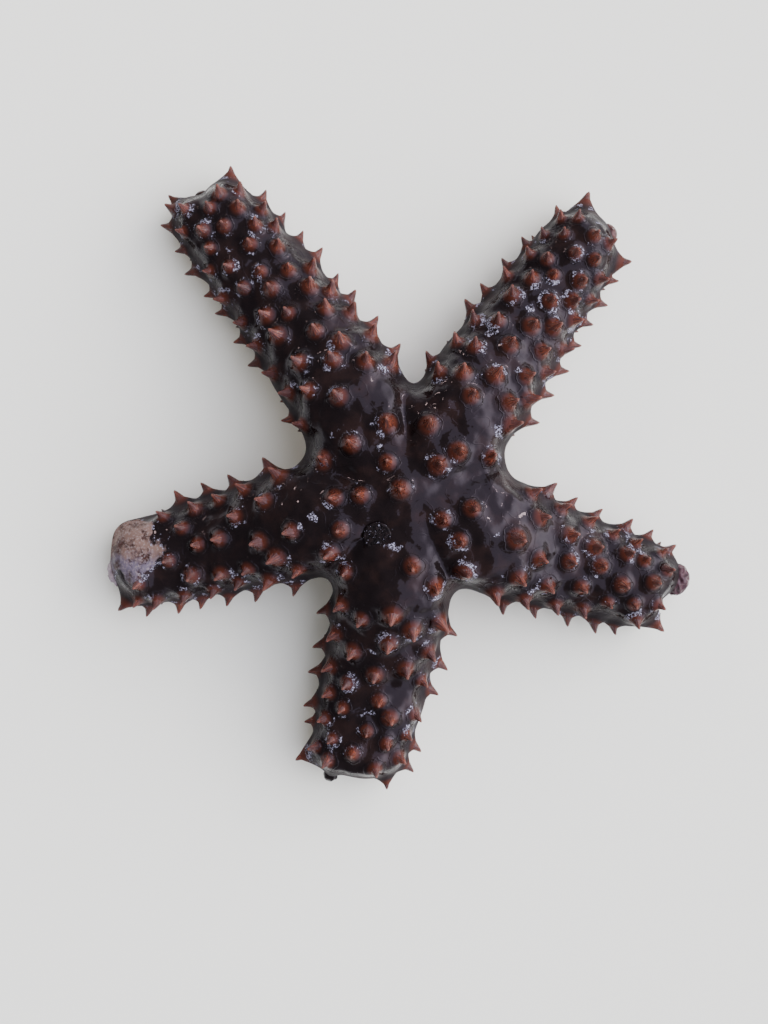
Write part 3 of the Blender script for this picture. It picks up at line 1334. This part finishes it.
material, tree, shader, spot = new_material("spine_horn")
rise = value_of(tree, "rise")
grain_place = add_node(tree, "ShaderNodeAttribute", attribute_name="grain").outputs["Vector"]
streak = noise_value(tree, grain_place, 2.4, 3.0, 0.6)
blotch = noise_value(tree, spot, 0.35, 2.0, 0.5)
shifted = calc(tree, "MULTIPLY_ADD", calc(tree, "SUBTRACT", streak, 0.5), STREAK_SHIFT, rise)
flank = blend_colour(tree, ramp_up(tree, streak, *STREAKS), FLANK, WARM)
flank = blend_colour(tree, ramp_up(tree, blotch, *BLOTCHES), flank, FLANK)
colour = blend_colour(tree, ramp_up(tree, shifted, *FOOT_FADE), DEEP, flank)
colour = blend_colour(tree, ramp_up(tree, shifted, *POINT_FADE), colour, POINT)
ring = calc(tree, "MULTIPLY_ADD", rise, FOAM_UP, FOAM_FROM)
fleck = use(tree, flecks, {"Place": spot, "Ring": ring, "Amount": SPINE_FOAM}).outputs["Mask"]
colour = blend_colour(tree, fleck, colour, FOAM)

# %% The spines' gloss and streaks
HORN_IOR, HORN_BUMP, HORN_RELIEF = 1.32, 0.8, 0.0003
WORN_BAND, WORN_ROUGHNESS, HORN_ROUGHNESS, STREAK_ROUGHNESS = (0.1, 0.6), 0.14, 0.07, 0.10

rough = calc(tree, "MULTIPLY_ADD", ramp_up(tree, rise, *WORN_BAND), WORN_ROUGHNESS, HORN_ROUGHNESS)
rough = calc(tree, "MULTIPLY_ADD", streak, STREAK_ROUGHNESS, rough)
coloured(tree, shader, colour, calc(tree, "MULTIPLY_ADD", fleck, FOAM_ROUGHNESS, rough))
bump(tree, shader, calc(tree, "MULTIPLY_ADD", fleck, 0.3, streak), HORN_BUMP, HORN_RELIEF)
lets_light_in(shader, 0.12, (0.0012, 0.0005, 0.0003))
shader.inputs["IOR"].default_value = HORN_IOR
shader.inputs["Specular Tint"].default_value = SHEEN
shader.inputs["Coat Weight"].default_value = 0.15
shader.inputs["Coat Roughness"].default_value = 0.06
spines.data.materials.append(material)
print("painted", spines.name)

# %% [markdown]
# ## The underside's paint
# Tube feet are soft and pale orange-brown, with a paler sucker, and light glows through them.
# The groove spines are like pale horn, darker at the foot. The mouth's folds are a fleshy brown.
# None of them is as wet as the back, so a noise in the roughness is enough for them, and they
# do without the water.

# %% Tube feet
STALK, SUCKER, WRINKLE = (0.36, 0.17, 0.09, 1), (0.55, 0.36, 0.24, 1), (0.20, 0.08, 0.045, 1)

material, tree, shader, spot = new_material("tube_foot")
rise = value_of(tree, "rise")
wrinkle = noise_value(tree, spot, 1.8, 3.0, 0.6)
colour = blend_colour(tree, ramp_up(tree, rise, 0.72, 0.9), STALK, SUCKER)
colour = blend_colour(tree, ramp_up(tree, wrinkle, 0.65, 0.3), colour, WRINKLE)
coloured(tree, shader, colour, calc(tree, "MULTIPLY_ADD", wrinkle, 0.3, 0.15))
bump(tree, shader, wrinkle, 0.5, 0.0003)
lets_light_in(shader, 0.25, (0.0012, 0.0006, 0.0003))
feet.data.materials.append(material)
print("painted", feet.name)

# %% Groove spines
COMB_FOOT, COMB_TIP, COMB_STAIN = (0.10, 0.035, 0.02, 1), (0.40, 0.19, 0.09, 1), (0.19, 0.07, 0.035, 1)

material, tree, shader, spot = new_material("groove_spine")
rise = value_of(tree, "rise")
speck = noise_value(tree, spot, 1.5, 3.0, 0.6)
colour = blend_colour(tree, ramp_up(tree, rise, -0.1, 0.8), COMB_FOOT, COMB_TIP)
colour = blend_colour(tree, ramp_up(tree, speck, 0.4, 0.7), colour, COMB_STAIN)
coloured(tree, shader, colour, calc(tree, "MULTIPLY_ADD", speck, 0.3, 0.18))
bump(tree, shader, speck, 0.4, 0.0002)
groove_spines.data.materials.append(material)
print("painted", groove_spines.name)

# %% The mouth's folds
FOLD_DARK, FOLD_PALE = (0.16, 0.065, 0.04, 1), (0.38, 0.20, 0.13, 1)

material, tree, shader, spot = new_material("mouth_fold")
fold = noise_value(tree, spot, 1.1, 3.0, 0.6)
colour = blend_colour(tree, ramp_up(tree, fold, 0.35, 0.65), FOLD_DARK, FOLD_PALE)
coloured(tree, shader, colour, calc(tree, "MULTIPLY_ADD", fold, 0.25, 0.12))
bump(tree, shader, fold, 0.5, 0.0004)
mouth.data.materials.append(material)
print("painted", mouth.name)

# %% [markdown]
# ## The sieve plate's paint
# The plate is blacker than the skin round it, and tiny grains sparkle on it. A darker colour
# alone would not be enough, because the sky in the water sets its tone, so it also mirrors less
# than the skin does and is rougher.

# %% The sieve plate
SIEVE_DARK, SIEVE_WORN = (0.005, 0.004, 0.005, 1), (0.016, 0.011, 0.012, 1)
SIEVE_GLINT, SIEVE_IOR, SIEVE_RELIEF = (0.20, 0.19, 0.25, 1), 1.16, 0.00012

material, tree, shader, spot = new_material("sieve_plate")
speck = noise_value(tree, spot, 2.2, 4.0, 0.7)
colour = blend_colour(tree, ramp_up(tree, speck, 0.4, 0.7), SIEVE_DARK, SIEVE_WORN)
glints = ramp_up(tree, noise_value(tree, spot, 3.4, 2.0, 0.6), 0.64, 0.70)
colour = blend_colour(tree, glints, colour, SIEVE_GLINT)
coloured(tree, shader, colour, calc(tree, "MULTIPLY_ADD", speck, 0.15, 0.03))
bump(tree, shader, speck, 0.8, SIEVE_RELIEF)
shader.inputs["IOR"].default_value = SIEVE_IOR
sieve.data.materials.append(material)
print("painted", sieve.name)

# %% [markdown]
# ## The end plates' paint
# The five knobs differ in colour from near black to lilac, but all are smooth and wet. One
# recipe with a dark and a pale tone serves for all, and it borrows the skin's pooled water.

# %% The end plates
LOBES = {
    "arm_up_left": ((0.012, 0.007, 0.007, 1), (0.050, 0.020, 0.012, 1)),
    "arm_up_right": ((0.030, 0.014, 0.013, 1), (0.085, 0.038, 0.034, 1)),
    "arm_right": ((0.028, 0.014, 0.018, 1), (0.065, 0.030, 0.038, 1)),
    "arm_down": ((0.005, 0.004, 0.004, 1), (0.015, 0.011, 0.011, 1)),
    "arm_left": ((0.20, 0.15, 0.19, 1), (0.36, 0.29, 0.34, 1)),
}


def lobe_paint(name, dark, pale):
    """The wet, smooth skin over an end plate."""
    material, tree, shader, spot = new_material(name)
    pool = use(tree, pooled, {"Place": spot, "Near": 0.0, "Level": 0.0}).outputs
    mottle = ramp_up(tree, noise_value(tree, spot, 0.7, 3.0, 0.6), 0.35, 0.65)
    rough = blend_value(tree, pool["Water"], 0.2, 0.06)
    coloured(tree, shader, blend_colour(tree, mottle, dark, pale), rough)
    bump(tree, shader, pool["Height"], 0.5)
    shader.inputs["IOR"].default_value = WATER_IOR
    shader.inputs["Specular Tint"].default_value = SHEEN
    return material


for arm, plate in zip(ARMS, end_plates):
    plate.data.materials.append(lobe_paint("lobe_" + arm.name, *LOBES[arm.name]))
print("painted", len(end_plates), "end plates")

# %% [markdown]
# ## The floor
# The star is seen on a plain pale floor. Pure white would burn out and drown the soft shadow, so
# it is a faintly mottled off-white, dull all over.

# %% Floor
FLOOR_SIZE, FLOOR_ROUGHNESS = 1.2, 0.9
FLOOR_GREY, FLOOR_WHITE = (0.94, 0.95, 0.89, 1), (0.97, 0.98, 0.92, 1)

bm = bmesh.new()
bmesh.ops.create_grid(bm, x_segments=2, y_segments=2, size=FLOOR_SIZE)
floor = mesh_object("floor", bm)
material, tree, shader, spot = new_material("pale_floor")
colour = blend_colour(tree, noise_value(tree, spot, 0.01, 3.0, 0.5), FLOOR_GREY, FLOOR_WHITE)
tree.links.new(colour, shader.inputs["Base Color"])
shader.inputs["Roughness"].default_value = FLOOR_ROUGHNESS
floor.data.materials.append(material)

# %% [markdown]
# ## The sky in the pools
# Wet black skin shows hardly any colour of its own. What is seen in it is the sky, so the light
# is designed as something to be mirrored: a broad soft brightness to the right, with a clear
# edge overhead. A pool that tips that way by a few degrees turns pale, and the next one stays black.
# Lower down the brightness fades round softly, and a band of wall stands at the horizon. A large
# panel light could do this too, but its square shape would show in every pool.

# %% The surround
SKY_SIDE = (0.985, 0.174, 0.0)
SKY_EDGE, SKY_RIM, SKY_HORIZON = (0.150, 0.157), (0.50, 0.95), (-0.05, 0.20)
OVERHEAD, LOW_SKY, WALL_HEIGHT = (0.12, 0.45), (-0.7, 0.9), (0.10, 0.30)
CLOUD_SCALE, CLOUD_REACH = 5.0, 0.45
FILL, WALL = (0.385, 0.38, 0.365, 1), (0.80, 0.80, 0.78, 1)
SKY, RIM = (2.95, 2.95, 3.35, 1), (10.5, 10.3, 10.3, 1)

world = bpy.data.worlds.new("surround")
world.use_nodes = True
tree = world.node_tree
looking = add_node(tree, "ShaderNodeTexCoord").outputs["Generated"]
to_side = add_node(tree, "ShaderNodeVectorMath", {0: looking, 1: SKY_SIDE}, operation="DOT_PRODUCT")
aside = to_side.outputs["Value"]
up = add_node(tree, "ShaderNodeSeparateXYZ", {0: looking}).outputs["Z"]
overhead = ramp_up(tree, up, *OVERHEAD)
cloud = calc(tree, "SUBTRACT", noise_value(tree, looking, CLOUD_SCALE, 2.0, 0.5), 0.5)
wavy = calc(tree, "MULTIPLY_ADD", calc(tree, "MULTIPLY", cloud, overhead), CLOUD_REACH, aside)
low_sky, high_sky = ramp_up(tree, aside, *LOW_SKY), ramp_up(tree, wavy, *SKY_EDGE)
share = blend_value(tree, overhead, low_sky, high_sky)
share = calc(tree, "MULTIPLY", share, ramp_up(tree, up, *SKY_HORIZON))
sky = blend_colour(tree, ramp_up(tree, aside, *SKY_RIM), SKY, RIM)
walls = blend_colour(tree, ramp_up(tree, up, *WALL_HEIGHT), WALL, FILL)
glow = blend_colour(tree, share, walls, sky)
tree.links.new(glow, tree.nodes["Background"].inputs["Color"])
bpy.context.scene.world = world
print("sky:", SKY[:3], "fill:", FILL[:3])

# %% [markdown]
# ## Glints
# Two small warm panels, one on either side, give the points of light on the spines and on the
# rims of the water. They are weak and small: a large one would lay a flat haze over the skin.

# %% Lights
PANEL_DISTANCE, STAR_MIDDLE_HEIGHT = 0.60, 0.010


def panel(name, direction, size, energy, colour):
    """A soft rectangular light that faces the star."""
    light = bpy.data.lights.new(name, "AREA")
    light.shape = "RECTANGLE"
    light.size, light.size_y = size
    light.energy = energy
    light.color = colour
    obj = bpy.data.objects.new(name, light)
    bpy.context.scene.collection.objects.link(obj)
    outward = Vector(direction).normalized()
    middle = Vector((DISC_PLACE[0] * METRES, DISC_PLACE[1] * METRES, STAR_MIDDLE_HEIGHT))
    obj.location = middle + outward * PANEL_DISTANCE
    obj.rotation_euler = outward.to_track_quat("Z", "Y").to_euler()
    return obj


panel("glint", (0.85, 0.70, 0.55), (0.045, 0.03), 0.30, (1.0, 0.84, 0.70))
panel("warm_glint", (-0.60, 0.74, 0.42), (0.06, 0.04), 0.42, (1.0, 0.80, 0.62))
print("panels:", len(bpy.data.lights))

# %% [markdown]
# ## The camera
# The camera looks straight down on the star from close by, so the spines near the edge of the
# view lean outwards a little. From further off, with a longer lens, they would all stand
# upright and the arms would look flatter. The lens follows from the height of the view and the
# length of floor that it has to show.

# %% Camera
VIEW_HEIGHT, VIEW_LEVEL = 0.190, 0.006
FRAME_HEIGHT, SENSOR = 0.1403, 36.0
VIEW_OFFSET = (-2.74, -2.05)

camera_data = bpy.data.cameras.new("camera")
camera_data.sensor_width = SENSOR
camera_data.lens = SENSOR * VIEW_HEIGHT / FRAME_HEIGHT
camera_data.clip_start = 0.005
camera = bpy.data.objects.new("camera", camera_data)
bpy.context.scene.collection.objects.link(camera)
camera.location = (
    (DISC_PLACE[0] + VIEW_OFFSET[0]) * METRES,
    (DISC_PLACE[1] + VIEW_OFFSET[1]) * METRES,
    VIEW_HEIGHT + VIEW_LEVEL,
)
bpy.context.scene.camera = camera
print("lens", round(camera_data.lens, 1), "mm")
